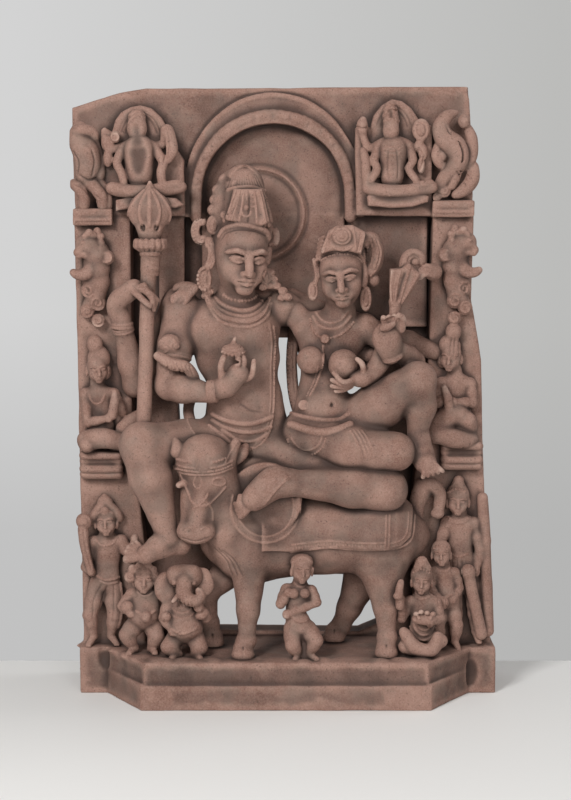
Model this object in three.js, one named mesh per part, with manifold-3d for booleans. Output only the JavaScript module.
// A sandstone stele of Shiva and Uma seated on the bull Nandi, carved from one block.
// Millimetres. X runs across the front, Y into the stone and Z up, from the centre of the plinth's underside.
import * as THREE from "three";
import { mergeVertices } from "three/addons/utils/BufferGeometryUtils.js";
import Module from "manifold-3d";

const wasm = await Module();
wasm.setup();

// Driving dimensions
const HEIGHT = 992;
const FRONT = -130;
const BACK = 130;
const PLINTH_HALF_WIDTH = 342;
const PLINTH_TOP = 76;
const FASCIA_TOP = 42;
const FASCIA_STEP = 5;
const CHAMFER_FRONT_LEFT = -234;
const CHAMFER_FRONT_RIGHT = 228;
const CHAMFER_BACK = 298;
const SIDE_FRONT = -16;

// Depths of the surfaces that the figures stand in front of
const GROUND = 76;
const TOP_BAND = 42;
const COLUMN_FRONT = 12;
const NICHE_BACK = 8;
const CUSHION = [14, 22];
const LEDGE_FRONT = -8;
const PANEL_FRONT = 46;

const NICHE_FLOOR = 778;
const CLOTH_THICKNESS = 6;
const OVERLAP = 4;

// Front outlines, [across, up]
const OUTLINE = [
  [-340, 4], [-342, 350], [-342, 640], [-348, 790], [-352, 900], [-352, 958], [-275, 982], [-231, 989],
  [20, 990], [166, HEIGHT], [294, HEIGHT], [303, 860], [299, 646], [308, 597], [316, 548], [320, 416],
  [338, 100], [340, 4],
];
const WINDOWS = [
  [[-182, 422], [-184, 470], [-171, 500], [-169, 568], [-146, 572], [-112, 500], [-124, 462], [-138, 424]],
  [[-20, 580], [8, 580], [22, 540], [22, 470], [6, 436], [-8, 438], [-22, 500]],
  [[146, 524], [150, 498], [122, 462], [88, 458], [90, 500]],
  [[-126, 84], [-128, 120], [-90, 180], [100, 180], [158, 150], [158, 98], [120, 82]],
];
const SADDLE_CLOTH = [
  [-100, 340], [-100, 262], [-40, 250], [60, 247], [152, 250], [182, 258], [202, 282], [206, 340],
];
// The recess, the roll and the hood of the arch, each as [half width, rise]
const ARCH = { x: -24, springing: 815, foot: 780, recess: [118, 117], roll: [133, 139], hood: [148, 168] };
// Ledges and plain panels: [left, right, bottom, top, front]
const LEDGES = [
  [-201, -172, 640, 782, PANEL_FRONT], [135, 240, 600, 782, PANEL_FRONT],
  [-347, -283, 767, 795, LEDGE_FRONT], [233, 301, 781, 808, LEDGE_FRONT],
  [-338, -272, 355, 402, LEDGE_FRONT], [250, 317, 374, 411, LEDGE_FRONT],
];
// The trident's head from its tip down: [radius, height]
const TRIDENT = [
  [0, 836], [24, 806], [34, 784], [18, 746], [27, 738], [25, 728], [13, 718], [17, 694], [0, 680],
];

const WELD = 1e-3;
const ROUND_END = 0.55;
const SHARPEST_BEND = THREE.MathUtils.degToRad(125);
const FOLD_SHARE = 0.78;
const WIDEST_MITRE = 1.25;
const STONE = new THREE.MeshStandardMaterial({ color: 0x7d5348, roughness: 0.9, metalness: 0 });

// Where the joints of every figure are: [across, depth, up]. "head" to "hips" run down the trunk,
// an arm runs shoulder, elbow, wrist, hand, and a leg hip, knee, ankle, toes. "size" is half a head's width.
const POSES = {
  shiva: {
    trunk: [[0.72, 0.7], [0.8, 0.7], [1.9, 0.8], [2.1, 1.05], [1.35, 0.95], [1.6, 1.05]],
    size: 42,
    arm: [0.64, 0.52, 0.38, 0.4], leg: [0.86, 0.8, 0.46, 0.4],
    head: [-75, -38, 719], neck: [-84, -14, 655], chest: [-92, -8, 604],
    waist: [-70, -14, 500], hips: [-68, -12, 438],
    arms: [
      [[-174, -12, 633], [-190, -38, 512], [-128, -74, 502], [-98, -84, 522]],
      [[-178, 24, 636], [-250, 8, 508], [-268, -22, 612], [-234, -40, 662]],
      [[-10, 2, 634], [61, 40, 609], [135, 10, 559], [109, -42, 507]],
      [[3, 30, 641], [176, 34, 583], [242, 10, 562], [216, -6, 690]],
    ],
    legs: [
      [[-107, -20, 420], [-233, -84, 420], [-192, -82, 272], [-243, -104, 240]],
      [[-42, -24, 405], [155, -64, 346], [0, -96, 362], [-60, -104, 322]],
    ],
  },
  uma: {
    trunk: [[0.66, 0.6], [0.7, 0.6], [1.55, 0.7], [1.6, 0.9], [0.95, 0.85], [1.5, 1.05]],
    size: 35,
    arm: [0.48, 0.42, 0.34, 0.38], leg: [1.05, 0.9, 0.44, 0.36],
    head: [85, -38, 688], neck: [84, -14, 628], chest: [72, -8, 589],
    waist: [54, -14, 508], hips: [62, -14, 448],
    arms: [
      [[28, -4, 606], [-6, 0, 640], [-85, 34, 650], [-174, -14, 652]],
      [[124, -8, 603], [204, -20, 548], [174, -62, 572], [163, -74, 600]],
    ],
    legs: [
      [[28, -26, 428], [172, -72, 408], [106, -56, 392]],
      [[104, -20, 446], [207, -66, 522], [207, -50, 432], [238, -84, 384]],
    ],
  },
  dancer: {
    size: 16,
    head: [22, -92, 221], neck: [19, -86, 200], chest: [17, -88, 182],
    waist: [12, -88, 154], hips: [19, -88, 126],
    arms: [
      [[-2, -88, 187], [-12, -96, 166], [0, -104, 186]],
      [[37, -88, 185], [46, -94, 168], [-2, -102, 150]],
    ],
    legs: [
      [[8, -86, 121], [8, -98, 99], [18, -90, 80], [12, -104, 77]],
      [[32, -86, 121], [44, -102, 108], [34, -92, 82], [46, -104, 77]],
    ],
  },
  elephant_god: {
    size: 20, clear: true,
    head: [-167, -72, 196], neck: [-168, -62, 168], chest: [-168, -62, 152],
    waist: [-166, -74, 129], hips: [-165, -66, 108],
    arms: [
      [[-190, -62, 160], [-198, -76, 139], [-184, -88, 120]],
      [[-145, -62, 158], [-132, -76, 140], [-143, -90, 160]],
    ],
    legs: [
      [[-180, -68, 105], [-192, -84, 93], [-178, -78, 79], [-186, -96, 76]],
      [[-151, -68, 105], [-142, -82, 92], [-149, -78, 79], [-141, -96, 76]],
    ],
  },
  dwarf: {
    size: 17, clear: true,
    head: [-233, -52, 199], neck: [-234, -46, 178], chest: [-234, -46, 166],
    waist: [-234, -52, 144], hips: [-235, -46, 125],
    arms: [
      [[-253, -46, 170], [-268, -56, 154], [-254, -66, 144]],
      [[-214, -46, 171], [-202, -52, 178], [-209, -60, 192]],
    ],
    legs: [
      [[-247, -46, 122], [-262, -58, 107], [-250, -50, 83], [-257, -66, 79]],
      [[-221, -46, 122], [-213, -56, 104], [-222, -50, 83], [-215, -66, 79]],
    ],
  },
  fly_whisk_bearer: {
    size: 17, hair: 1,
    head: [-298, -6, 285], neck: [-298, 4, 263], chest: [-298, 4, 240],
    waist: [-298, 2, 205], hips: [-302, 2, 180],
    arms: [
      [[-320, 2, 248], [-333, -4, 208], [-322, -14, 202]],
      [[-275, 4, 250], [-259, -2, 226], [-251, -8, 256]],
    ],
    legs: [
      [[-315, 2, 170], [-326, -8, 128], [-320, 0, 92], [-328, -12, 80]],
      [[-289, 2, 170], [-286, -6, 128], [-293, 2, 92], [-282, -8, 80]],
    ],
  },
  attendant: {
    size: 17, hair: 1,
    head: [279, -2, 319], neck: [282, 8, 296], chest: [283, 6, 273],
    waist: [285, 6, 233], hips: [287, 6, 208],
    arms: [
      [[262, 6, 280], [250, 0, 244], [258, -8, 222]],
      [[306, 8, 279], [316, 2, 236], [309, -4, 200]],
    ],
    legs: [
      [[277, 6, 196], [275, -2, 146], [281, 6, 98], [273, -8, 84]],
      [[299, 6, 196], [306, -2, 147], [310, 6, 98], [315, -6, 84]],
    ],
  },
  page: {
    size: 15, clear: true,
    head: [250, -28, 236], neck: [254, -20, 218], chest: [255, -20, 197],
    waist: [259, -22, 169], hips: [261, -20, 150],
    arms: [
      [[239, -22, 202], [232, -30, 178], [244, -38, 165]],
      [[272, -20, 201], [280, -24, 178], [269, -34, 160]],
    ],
    legs: [
      [[253, -20, 141], [245, -30, 116], [253, -22, 88], [246, -34, 78]],
      [[269, -20, 141], [276, -28, 116], [274, -22, 88], [279, -34, 78]],
    ],
  },
  seated_attendant: {
    size: 16, clear: true, crossLegged: true,
    head: [216, -60, 197], neck: [217, -54, 173], chest: [219, -54, 157],
    waist: [219, -58, 131], hips: [218, -56, 108],
    arms: [
      [[198, -56, 161], [184, -62, 135], [183, -72, 168]],
      [[238, -56, 159], [247, -62, 135], [228, -80, 131]],
    ],
    legs: [
      [[202, -58, 102], [189, -82, 93], [218, -92, 84]],
      [[234, -58, 102], [246, -80, 102], [221, -94, 88]],
    ],
  },
  kneeler_left: {
    size: 17, hair: 1, crossLegged: true,
    head: [-310, -6, 536], neck: [-311, 2, 512], chest: [-308, 2, 489],
    waist: [-305, 0, 452], hips: [-309, 2, 425],
    arms: [
      [[-331, 2, 493], [-324, -14, 448], [-290, -26, 457]],
      [[-285, 2, 493], [-271, -10, 466], [-278, -26, 488]],
    ],
    legs: [
      [[-322, 0, 418], [-326, -30, 413], [-330, 2, 408]],
      [[-294, 0, 418], [-268, -28, 417], [-280, 6, 408]],
    ],
  },
  kneeler_right: {
    size: 17, hair: 1.2, crossLegged: true,
    head: [265, -2, 555], neck: [271, 6, 533], chest: [275, 6, 508],
    waist: [276, 4, 474], hips: [280, 6, 446],
    arms: [
      [[251, 4, 510], [244, -10, 480], [258, -22, 491]],
      [[297, 6, 509], [300, -6, 480], [268, -20, 482]],
    ],
    legs: [
      [[265, 4, 438], [240, -22, 427], [290, 2, 421]],
      [[292, 6, 438], [294, -18, 452], [302, 2, 424]],
    ],
  },
  niche_god_left: {
    size: 14, hair: 1.6, crossLegged: true,
    head: [-239, -8, 917], neck: [-240, 0, 898], chest: [-238, 0, 881],
    waist: [-239, 0, 856], hips: [-237, 0, 840],
    arms: [
      [[-259, 0, 885], [-271, -8, 860], [-257, -18, 848]],
      [[-217, 0, 885], [-206, -8, 860], [-218, -18, 847]],
      [[-259, 10, 889], [-281, 10, 884], [-283, 4, 908]],
      [[-217, 10, 889], [-196, 10, 881], [-188, 4, 904]],
    ],
    legs: [
      [[-250, -4, 835], [-280, -18, 829], [-222, -28, 824]],
      [[-223, -4, 835], [-180, -18, 831], [-237, -30, 827]],
    ],
  },
  niche_god_right: {
    size: 14, hair: 1.8, crossLegged: true,
    head: [169, -8, 907], neck: [169, 0, 890], chest: [169, 0, 876],
    waist: [169, 0, 854], hips: [169, 0, 839],
    arms: [
      [[150, 0, 879], [142, -8, 857], [151, -18, 845]],
      [[188, 0, 879], [198, -8, 857], [187, -18, 845]],
      [[150, 10, 882], [122, 8, 888], [124, 2, 922]],
      [[189, 10, 882], [217, 8, 881], [218, 2, 908]],
    ],
    legs: [
      [[157, -4, 832], [128, -18, 826], [192, -30, 823]],
      [[181, -4, 832], [226, -18, 828], [151, -28, 825]],
    ],
  },
};

const NANDI = {
  rump: [152, -26, 268], belly: [52, -28, 266], chest: [-62, -34, 252],
  neck: [-104, -52, 318], poll: [-135, -92, 398], muzzle: [-145, -102, 290],
  hump: [-50, -46, 374],
  nearFore: [[-62, -60, 231], [-64, -82, 152], [-67, -86, 104], [-72, -92, 86]],
  farFore: [[-94, -8, 204], [-134, -12, 168], [-130, 0, 115], [-124, -2, 86]],
  nearHind: [[152, -48, 225], [157, -66, 156], [160, -70, 106], [158, -78, 86]],
  farHind: [[129, 18, 200], [103, 36, 133], [88, 40, 100], [77, 34, 84]],
  ears: [[[-168, -84, 404], [-238, -88, 400]], [[-102, -84, 408], [-80, -80, 424]]],
};

// A closed geometry becomes a solid: equal corners are welded and triangles without area dropped.
function solid(geometry) {
  const bare = new THREE.BufferGeometry();
  const source = geometry.index ? geometry.toNonIndexed() : geometry;
  bare.setAttribute("position", source.getAttribute("position"));
  const welded = mergeVertices(bare, WELD);
  const corners = [];
  for (let i = 0; i < welded.index.count; i += 3) {
    const [a, b, c] = [0, 1, 2].map((k) => welded.index.getX(i + k));
    if (a !== b && b !== c && c !== a) corners.push(a, b, c);
  }
  return new wasm.Manifold(
    new wasm.Mesh({
      numProp: 3,
      vertProperties: new Float32Array(welded.attributes.position.array),
      triVerts: new Uint32Array(corners),
    }),
  );
}

function join(solids) {
  return solids.reduce((all, one) => all.add(one));
}

// An ellipsoid, turned in the front view by "lean" degrees
function ball(centre, radii, lean = 0) {
  return placed(new THREE.SphereGeometry(1, 7, 5).rotateX(Math.PI / 2), centre, radii, lean);
}

// The same for a small form, with 20 facets
function lump(centre, radii, lean = 0) {
  return placed(new THREE.IcosahedronGeometry(1.08, 0), centre, radii, lean);
}

function placed(geometry, centre, radii, lean) {
  geometry.scale(...radii);
  geometry.rotateY(THREE.MathUtils.degToRad(lean));
  geometry.translate(...centre);
  return solid(geometry);
}

// One run of a limb: a cylinder whose rings are moved to the joints and turned half-way between the bones.
// A ring's radius is a number, or [across, depth] where the section is oval.
function sweep(points, radii, sides) {
  const last = points.length - 1;
  const bones = points.slice(1).map((point, i) => point.clone().sub(points[i]).normalize());
  const geometry = new THREE.CylinderGeometry(1, 1, 1, sides, last);
  const place = geometry.getAttribute("position");
  const normal = new THREE.Vector3(1, 0, 0);
  if (Math.abs(bones[0].x) > 0.8) normal.set(0, 0, 1);
  const frames = points.map((point, k) => {
    const [before, after] = [bones[Math.max(k - 1, 0)], bones[Math.min(k, last - 1)]];
    const tangent = before.clone().add(after).normalize();
    normal.addScaledVector(tangent, -normal.dot(tangent)).normalize();
    const side = normal.clone();
    const bend = before.clone().sub(after).normalize();
    const stretch = Math.min(1 / before.dot(tangent), WIDEST_MITRE) - 1;
    const other = tangent.clone().cross(side);
    return { point, tangent, side, other, bend, stretch, radius: [radii[k]].flat() };
  });
  for (let i = 0; i < place.count; i++) {
    const [x, y, z] = [place.getX(i), place.getY(i), place.getZ(i)];
    const k = Math.round((0.5 - y) * last);
    const { point, tangent, side, other, bend, stretch, radius } = frames[k];
    const [across, depth] = [radius[0], radius[1] ?? radius[0]];
    const spot = side.clone().multiplyScalar(x * across).addScaledVector(other, z * depth);
    spot.addScaledVector(bend, stretch * spot.dot(bend));
    if (Math.hypot(x, z) < WELD) spot.addScaledVector(tangent, (k ? ROUND_END : -ROUND_END) * depth);
    place.setXYZ(i, ...spot.add(point).toArray());
  }
  return solid(geometry);
}

// A limb through its joints, in a new run, begun inside the last one, wherever it is folded back on itself
function limb(joints, radii, sides = 5) {
  const points = joints.map((joint) => new THREE.Vector3(...joint));
  const runs = [];
  let start = 0;
  for (let i = 1; i < points.length; i++) {
    const before = points[i].clone().sub(points[i - 1]);
    const after = points[i + 1]?.clone().sub(points[i]);
    if (after && before.angleTo(after) <= SHARPEST_BEND) continue;
    const [first, ...others] = radii.slice(start, i + 1);
    runs.push(sweep(points.slice(start, i + 1), [start ? first * FOLD_SHARE : first, ...others], sides));
    start = i;
  }
  return join(runs);
}

function shapeThrough(corners) {
  return new THREE.Shape(corners.map((corner) => new THREE.Vector2(...corner)));
}

// An outline of the front view, [across, up], cut through from one depth to another
function prism(outline, front, back) {
  const shape = outline instanceof THREE.Shape ? outline : shapeThrough(outline);
  const depth = back - front;
  const geometry = new THREE.ExtrudeGeometry(shape, { depth, bevelEnabled: false, curveSegments: 9 });
  geometry.rotateX(Math.PI / 2);
  geometry.translate(0, back, 0);
  return solid(geometry);
}

// A block between two opposite corners
function block([x0, y0, z0], [x1, y1, z1]) {
  const geometry = new THREE.BoxGeometry(x1 - x0, y1 - y0, z1 - z0);
  geometry.translate((x0 + x1) / 2, (y0 + y1) / 2, (z0 + z1) / 2);
  return solid(geometry);
}

// A turned form, [radius, height] from its top down, flattened front to back
function turned([x, y], profile, flatten, sides) {
  const points = profile.map(([radius, height]) => new THREE.Vector2(radius, height)).reverse();
  const geometry = new THREE.LatheGeometry(points, sides);
  geometry.rotateX(Math.PI / 2);
  geometry.scale(1, flatten, 1);
  geometry.translate(x, y, 0);
  return solid(geometry);
}

// A point part of the way from one joint to another
function between(a, b, share) {
  return a.map((value, i) => value + share * (b[i] - value));
}

function scaled(radii, factor) {
  return radii.map((radius) => (Array.isArray(radius) ? scaled(radius, factor) : radius * factor));
}

// A large figure's trunk, head and limbs, thick in proportion to its head
function figure(pose) {
  const { size: u, head, neck, chest, waist, hips } = pose;
  const spine = [head, neck, between(chest, neck, 0.6), chest, waist, hips];
  return join([
    ball(head, scaled([1.06, 1.1, 1.36], u)),
    limb(spine, scaled(pose.trunk, u), 7),
    ...pose.arms.map((arm) => limb(arm, scaled(pose.arm, u), 5)),
    ...pose.legs.map((leg) => limb(leg, scaled(pose.leg, u), 6)),
  ]);
}

// A small figure in fewer facets, joined at its back to the stone behind it where it stands clear of that
function smallFigure(pose) {
  const { size: u, hair = 0, head, neck, chest, waist, hips } = pose;
  const crown = [head[0], head[1], head[2] + (hair * u) / 2];
  const spine = [between(neck, head, 0.5), between(chest, neck, 0.4), waist, hips];
  const pieces = [
    lump(crown, scaled([1.15, 1.1, 1.3 + hair / 2], u)),
    limb(spine, scaled([[0.6, 0.6], [1.55, 1], [1.1, 0.9], [1.35, 1]], u)),
    ...pose.arms.map((arm) => limb([arm[0], arm[1], arm.at(-1)], scaled([0.56, 0.5, 0.44], u), 4)),
  ];
  const [right, left] = pose.legs;
  if (pose.crossLegged) {
    const shins = between(right[2], left[2], 0.5);
    pieces.push(limb([right[1], shins, left[1]], scaled([0.8, 0.9, 0.8], u)));
  } else {
    pieces.push(...pose.legs.map((leg) => limb(leg.slice(0, 3), scaled([0.85, 0.75, 0.5], u), 4)));
  }
  if (pose.clear) {
    const root = [chest[0], GROUND + OVERLAP, chest[2]];
    pieces.push(limb([between(chest, waist, 0.5), root], scaled([1.2, 1], u), 4));
  }
  return join(pieces);
}

function plinth() {
  const plan = (inset, floor, top) => {
    const corners = [
      [-PLINTH_HALF_WIDTH, SIDE_FRONT], [-CHAMFER_BACK, SIDE_FRONT],
      [CHAMFER_FRONT_LEFT + inset, FRONT + inset], [CHAMFER_FRONT_RIGHT - inset, FRONT + inset],
      [CHAMFER_BACK, SIDE_FRONT], [PLINTH_HALF_WIDTH, SIDE_FRONT],
      [PLINTH_HALF_WIDTH, BACK], [-PLINTH_HALF_WIDTH, BACK],
    ];
    const options = { depth: top - floor, bevelEnabled: false };
    const geometry = new THREE.ExtrudeGeometry(shapeThrough(corners), options);
    geometry.translate(0, 0, floor);
    return solid(geometry);
  };
  return join([plan(0, 0, FASCIA_TOP), plan(FASCIA_STEP, FASCIA_TOP - OVERLAP, PLINTH_TOP)]);
}

// The back slab, pierced between the figures, with its broken upper left corner
function slab() {
  return WINDOWS.reduce(
    (stone, window) => stone.subtract(prism(window, GROUND - 4 * OVERLAP, BACK + OVERLAP)),
    prism(OUTLINE, GROUND, BACK),
  );
}

// An arch's outline: half an ellipse on two short legs
function archShape(halfWidth, rise) {
  const { x, springing, foot } = ARCH;
  const shape = new THREE.Shape();
  shape.moveTo(x - halfWidth, foot);
  shape.lineTo(x + halfWidth, foot);
  shape.lineTo(x + halfWidth, springing);
  shape.absellipse(x, springing, halfWidth, rise, 0, Math.PI, false, 0);
  return shape;
}

// The band across the top and the arch in its middle, hollowed out behind the two heads
function topBand() {
  const { recess, roll, hood } = ARCH;
  const face = prism(OUTLINE, TOP_BAND, GROUND + OVERLAP);
  const above = block([-400, TOP_BAND - 30, ARCH.foot], [400, GROUND + OVERLAP, HEIGHT + OVERLAP]);
  return join([
    face.intersect(above),
    prism(archShape(...hood), TOP_BAND - 12, TOP_BAND + OVERLAP),
    prism(archShape(...roll), TOP_BAND - 18, TOP_BAND + OVERLAP),
  ]).subtract(prism(archShape(...recess), TOP_BAND - 30, GROUND));
}

// The side columns' ground, the plain panels beside the arch, and the ledges that cross the columns
function columns() {
  const ground = prism(OUTLINE, COLUMN_FRONT, GROUND + OVERLAP);
  const left = prism([[-400, 60], [-236, 60], [-236, 240], [-262, 420], [-262, 782], [-400, 782]], -200, 200);
  const right = prism([[212, 60], [400, 60], [400, 782], [236, 782], [230, 560], [206, 330]], -200, 200);
  return join([
    ground.intersect(left),
    ground.intersect(right),
    ...LEDGES.map(([x0, x1, z0, z1, front]) => block([x0, front, z0], [x1, GROUND + OVERLAP, z1])),
  ]);
}

// The niches of the two upper corners, each a slab with a rounded head, a cushion and its seat
function niche(x, floor, top, halfWidth) {
  const shape = new THREE.Shape();
  shape.moveTo(x - halfWidth, floor);
  shape.lineTo(x + halfWidth, floor);
  shape.lineTo(x + halfWidth, top - halfWidth);
  shape.absellipse(x, top - halfWidth, halfWidth, halfWidth, 0, Math.PI, false, 0);
  const end = halfWidth - CUSHION[0];
  return join([
    prism(shape, NICHE_BACK, TOP_BAND + OVERLAP),
    limb([[x - end, -6, floor + 30], [x + end, -6, floor + 30]], [CUSHION, CUSHION], 6),
    block([x - halfWidth, -2, floor], [x + halfWidth, TOP_BAND + OVERLAP, floor + 22]),
  ]);
}

function nandi() {
  const { rump, belly, chest, neck, poll, muzzle, hump } = NANDI;
  const barrel = (swell) => {
    const girth = [[34, 30], [68, 60], [61, 58], [64, 58], [40, 36]];
    const grown = girth.map((oval) => oval.map((radius) => radius + swell));
    return limb([[196, -14, 262], rump, belly, chest, [-102, -40, 262]], grown, 10);
  };
  const face = [[-128, -92, 418], [-136, -98, 360], muzzle, [-148, -102, 270]];
  return join([
    barrel(0),
    barrel(CLOTH_THICKNESS).intersect(prism(SADDLE_CLOTH, FRONT, rump[1])),
    limb([chest, neck, poll], [[54, 56], [48, 50], [44, 30]], 7),
    limb(face, [[38, 22], [44, 28], [26, 24], [22, 16]], 7),
    lump(hump, [42, 34, 26]),
    limb(NANDI.nearFore, [32, 17, 12, 20]),
    limb(NANDI.farFore, [28, 19, 14, 18]),
    limb(NANDI.nearHind, [46, 18, 12, 19]),
    limb(NANDI.farHind, [36, 20, 15, 18]),
    ...NANDI.ears.map((ear) => limb(ear, [[14, 9], [11, 6]])),
    limb([[-37, -52, 336], [-37, -84, 322]], [60, 60], 10),
  ]);
}

function shiva() {
  const [x, y] = POSES.shiva.head;
  const crown = [[0, 866], [24, 856], [40, 830], [47, 800], [52, 768], [0, 738]];
  return join([
    figure(POSES.shiva),
    turned([x, y + 16], crown, 0.84, 10),
    limb([[x - 50, y + 18, 770], [x - 42, y + 12, 674]], [14, 13], 4),
    limb([[x + 44, y + 18, 762], [x + 36, y + 20, 664]], [11, 13], 4),
    limb([[-122, -22, 652], [-92, -48, 610], [-52, -30, 640]], [10, 12, 10]),
    limb([[-128, -36, 466], [-84, -54, 444], [-34, -44, 462]], [12, 16, 12]),
    limb([[-101, -88, 514], [-94, -88, 548], [-90, -84, 576]], [[20, 14], [17, 14], 12]),
    limb([[-236, -52, 250], [-180, -46, 236], [-118, -20, 232]], [16, 22, 24], 6),
    limb([[-180, 0, 232], [-180, GROUND + OVERLAP, 240]], [24, 30], 4),
  ]);
}

function uma() {
  return join([
    figure(POSES.uma),
    lump([33, -44, 551], [21, 22, 22]),
    lump([87, -48, 547], [25, 26, 26]),
    ball([58, -28, 478], [40, 34, 28]),
    lump([90, -46, 742], [24, 20, 18]),
    ball([130, -14, 712], [18, 22, 40], 12),
    limb([[117, -26, 694], [120, -28, 644]], [11, 12], 4),
    limb([[50, -30, 690], [42, -28, 652]], [10, 11], 4),
    limb([[150, -30, 470], [230, -36, 404], [244, -30, 366]], [16, 18, 14]),
    limb([[220, -10, 388], [225, GROUND + OVERLAP, 388]], [30, 36], 4),
  ]);
}

// What the gods hold: the trident staff, the lotus and the mirror, and the scarf's hanging ends
function attributes() {
  return join([
    turned([-221, -30], TRIDENT, 0.72, 8),
    limb([[-223, -32, 700], [-233, -50, 430]], [12, 12], 6),
    limb([[-221, -26, 760], [-221, GROUND + OVERLAP, 760]], [14, 20], 4),
    limb([[165, -74, 592], [170, -66, 640], [177, -40, 708]], [[20, 12], [11, 11], [25, 13]], 6),
    lump([194, -24, 700], [19, 18, 11], -30),
    limb([[-166, 60, 596], [-156, 66, 500], [-150, 66, 410]], [[9, 30], [8, 30], [8, 30]], 4),
    limb([[10, 60, 600], [2, 66, 520], [8, 66, 440]], [[10, 30], [9, 30], [9, 30]], 4),
  ]);
}

// The lion-like beast rearing on a side column, facing outwards
function rearingBeast(side, x, z) {
  const at = (across, depth, up) => [x + side * across, depth, z + up];
  return join([
    limb([at(12, 0, -12), at(2, 2, 2), at(-12, 8, 6)], [11, 22, 14]),
    limb([at(-8, 6, 0), at(-20, 6, -30), at(-2, 8, -70), at(4, 8, -108)], [15, 26, 16, 18]),
    limb([at(-14, -6, -40), at(20, -8, -62)], [11, 10]),
  ]);
}

// The worn upright forms at the ends of the top row
function cornerBeasts() {
  return join([
    limb([[-334, 16, 918], [-320, 8, 872], [-322, 14, 826], [-308, 16, 796]], [18, 26, 17, 18]),
    limb([[272, 14, 938], [258, 8, 905], [284, 4, 868], [260, 8, 834], [276, 12, 812]], [12, 15, 20, 15, 18]),
  ]);
}

// Headdresses, hair and attributes of the small figures
function regalia() {
  return join([
    limb([[-334, -8, 310], [-331, -8, 288], [-330, -12, 214]], [13, 9, 6], 4),
    lump([-194, -62, 190], [15, 10, 22], 20),
    lump([-140, -62, 190], [15, 10, 22], -20),
    limb([[-167, -84, 184], [-160, -98, 164], [-142, -94, 168]], [10, 8, 6], 4),
    limb([[222, -10, 348], [210, -14, 306], [218, -8, 240]], [18, 10, 9], 4),
    limb([[320, 10, 322], [329, 8, 96]], [9, 11], 4),
  ]);
}

function stele() {
  const small = Object.keys(POSES).filter((name) => POSES[name].size < POSES.uma.size);
  return join([
    plinth(), slab(), topBand(), columns(),
    niche(-229, NICHE_FLOOR, 962, 62), niche(172, NICHE_FLOOR, 968, 58),
    nandi(), shiva(), uma(), attributes(),
    rearingBeast(-1, -316, 746), rearingBeast(1, 278, 750),
    cornerBeasts(), regalia(),
    ...small.map((name) => smallFigure(POSES[name])),
  ]);
}

function meshOf(made) {
  const { vertProperties, triVerts, numProp } = made.getMesh();
  const positions = new Float32Array((vertProperties.length / numProp) * 3);
  for (let i = 0; i < positions.length / 3; i++) {
    positions.set(vertProperties.subarray(i * numProp, i * numProp + 3), i * 3);
  }
  const geometry = new THREE.BufferGeometry();
  geometry.setAttribute("position", new THREE.BufferAttribute(positions, 3));
  geometry.setIndex(new THREE.BufferAttribute(new Uint32Array(triVerts), 1));
  geometry.computeVertexNormals();
  return geometry;
}

const model = new THREE.Group();
const carving = new THREE.Mesh(meshOf(stele()), STONE);
carving.name = "carved_stele";
model.add(carving);

export default model;
